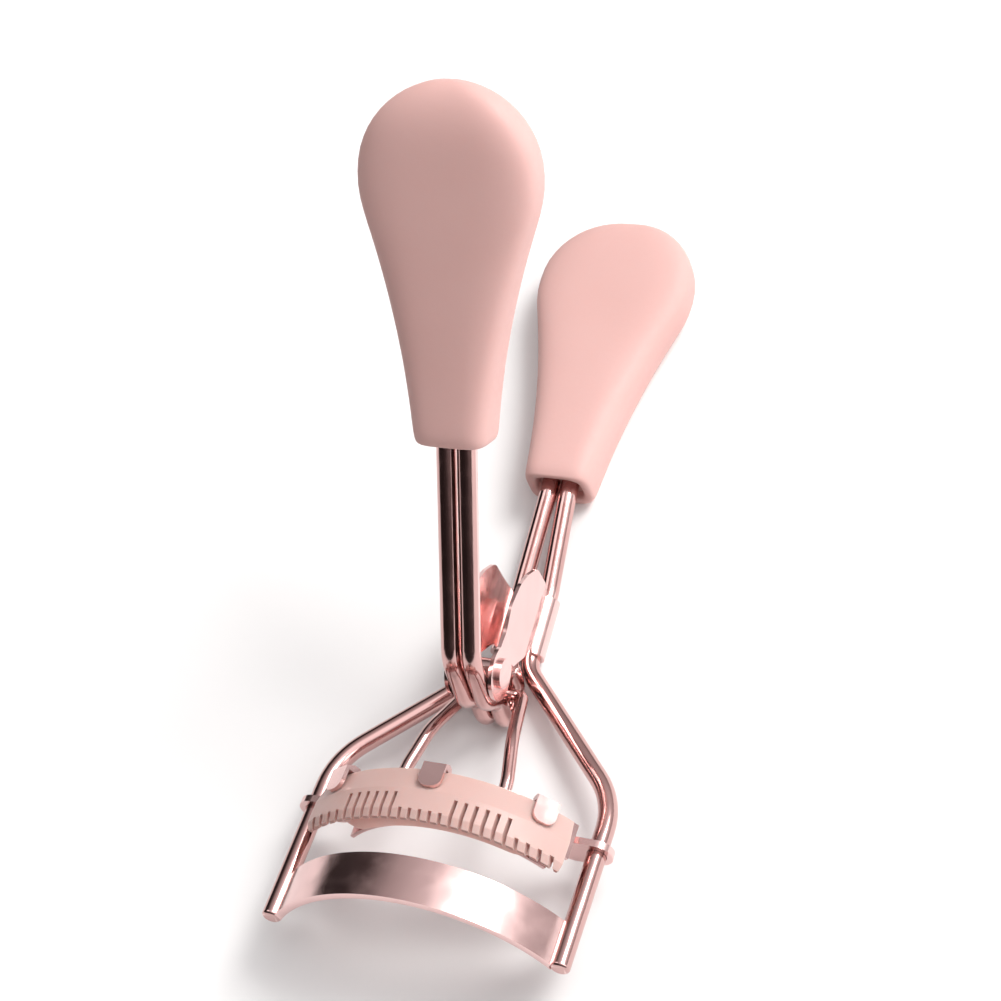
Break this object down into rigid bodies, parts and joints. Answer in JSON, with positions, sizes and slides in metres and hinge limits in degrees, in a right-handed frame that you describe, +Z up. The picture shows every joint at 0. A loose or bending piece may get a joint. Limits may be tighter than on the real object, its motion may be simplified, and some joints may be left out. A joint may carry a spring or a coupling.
{
  "type": "eyelash curler",
  "caption": "Eyelash curler with a curved wire frame, a sliding comb jaw with a soft pad, a pivoting lever with hooked ends and teardrop grips.",
  "frame": {"origin": "on the table, below the middle of the object's length and width", "axes": "+X across the jaws towards the right-hand rail, +Y from the rail tips towards the rear grip, +Z up from the table"},
  "size_m": [0.0392, 0.1038, 0.0696],
  "materials": {
    "rose_metal": "polished rose-gold plating",
    "rose_pin": "polished rose-gold plating",
    "pink_grip": "fine matt, soft touch",
    "pink_core": "matt",
    "pale_comb": "satin",
    "silicone": "soft matt"
  },
  "bodies": {
    "frame": {"frame_wire_left": "rose_metal", "frame_wire_right": "rose_metal", "lower_jaw_bar": "rose_metal", "pivot_bracket": "rose_metal", "pivot_pin": "rose_pin", "spacer_washer_left": "rose_pin", "spacer_washer_right": "rose_pin", "rear_grip_shell": "pink_grip", "rear_grip_core": "pink_core"},
    "lever": {"lever_wire_left": "rose_metal", "lever_wire_right": "rose_metal", "lever_bush": "rose_pin", "front_grip_shell": "pink_grip", "front_grip_core": "pink_core"},
    "jaw": {"upper_jaw_plate": "rose_metal", "rail_collar_left": "rose_metal", "rail_collar_right": "rose_metal", "push_rod": "rose_metal", "comb": "pale_comb", "silicone_pad": "silicone"}
  },
  "joints": [
    {"name": "lever_pivot", "type": "hinge", "parent": "frame", "child": "lever", "pos_m": [0, -0.01919, 0.01251], "axis": [-1, 0, 0], "range_deg": [-1, 45]},
    {"name": "jaw_slide", "type": "slide", "parent": "frame", "child": "jaw", "axis": [0, -0.9851, 0.1718], "range_m": [-0.00013, 0.00566]}
  ],
  "couplings": [
    {"joint": "jaw_slide", "follows": "lever_pivot", "m_per_rad": 0.0072}
  ]
}
